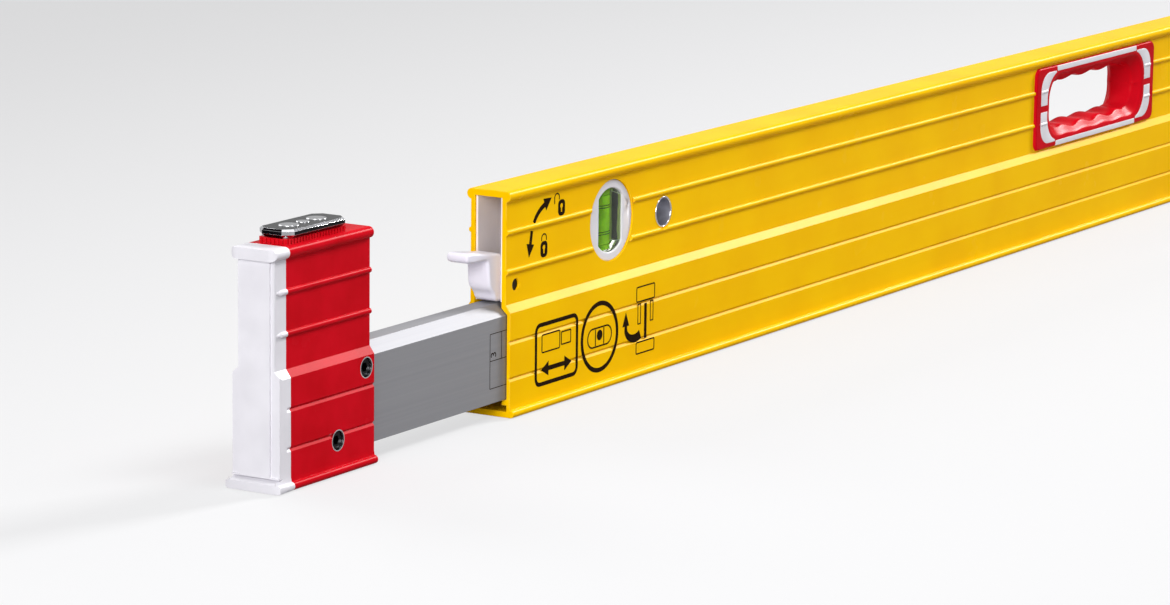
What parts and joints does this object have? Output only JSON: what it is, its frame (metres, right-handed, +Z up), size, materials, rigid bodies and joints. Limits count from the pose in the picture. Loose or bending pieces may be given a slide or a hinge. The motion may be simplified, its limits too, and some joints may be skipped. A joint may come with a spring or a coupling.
{
  "type": "plate level",
  "caption": "Long plate level with a bar that slides out of one end, a cam clamp lever, red and white end caps with pull-up stand-offs, vials, a hanging eye and hand holes.",
  "frame": {"origin": "middle of the ground plan with the bar as far out as in the picture, on the lower measuring face", "axes": "+X along the level away from the bar, +Y away from the marked side, +Z up"},
  "size_m": [1.9376, 0.0294, 0.1148],
  "materials": {
    "yellow_paint": "powder coat, semi gloss",
    "red_plastic": "moulded, fine grain",
    "white_plastic": "moulded",
    "bar_aluminium": "anodised",
    "bright_steel": "polished",
    "dark_steel": "blackened",
    "clear_acrylic": "clear",
    "green_liquid": "tinted liquid",
    "black_plastic": "moulded",
    "rubber": "matt"
  },
  "bodies": {
    "level_body": {"main_profile": "yellow_paint", "lock_housing": "white_plastic", "lever_pin": "dark_steel", "travel_stop": "black_plastic", "hanging_eye": "bar_aluminium", "left_plumb_housing": "white_plastic", "left_plumb_vial": "clear_acrylic", "left_plumb_plugs": "green_liquid", "left_plumb_liquid": "green_liquid", "right_plumb_housing": "white_plastic", "right_plumb_vial": "clear_acrylic", "right_plumb_plugs": "green_liquid", "right_plumb_liquid": "green_liquid", "level_housing": "white_plastic", "level_vial": "clear_acrylic", "level_plugs": "green_liquid", "level_liquid": "green_liquid", "left_grip": "red_plastic", "left_grip_inlays": "white_plastic", "right_grip": "red_plastic", "right_grip_inlays": "white_plastic", "cap_tenon": "bar_aluminium", "tenon_screw_block": "bar_aluminium", "right_cap_body": "red_plastic", "right_cap_face": "white_plastic", "right_cap_guide": "red_plastic", "right_cap_screws": "dark_steel", "right_cap_rings": "bright_steel", "right_brake_pads": "rubber"},
    "extension": {"extension_bar": "bar_aluminium", "bar_end_plug": "black_plastic", "bar_screw_block": "bar_aluminium", "left_cap_body": "red_plastic", "left_cap_face": "white_plastic", "left_cap_guide": "red_plastic", "left_cap_screws": "dark_steel", "left_cap_rings": "bright_steel", "left_brake_pads": "rubber"},
    "clamp_lever": {"lock_lever": "white_plastic"},
    "left_standoff": {"left_standoff_bracket": "bright_steel", "left_standoff_block": "white_plastic", "left_standoff_studs": "bright_steel"},
    "right_standoff": {"right_standoff_bracket": "bright_steel", "right_standoff_block": "white_plastic", "right_standoff_studs": "bright_steel"}
  },
  "joints": [
    {"name": "extension_slide", "type": "slide", "parent": "level_body", "child": "extension", "axis": [-1, 0, 0], "range_m": [-0.0799, 1.24]},
    {"name": "clamp_lever_turn", "type": "hinge", "parent": "level_body", "child": "clamp_lever", "pos_m": [-0.76945, 0, 0.0626], "axis": [0, 1, 0], "range_deg": [0, 70]},
    {"name": "left_standoff_lift", "type": "slide", "parent": "extension", "child": "left_standoff", "axis": [0, 0, 1], "range_m": [0, 0.0355]},
    {"name": "right_standoff_lift", "type": "slide", "parent": "level_body", "child": "right_standoff", "axis": [0, 0, 1], "range_m": [0, 0.0355]}
  ]
}
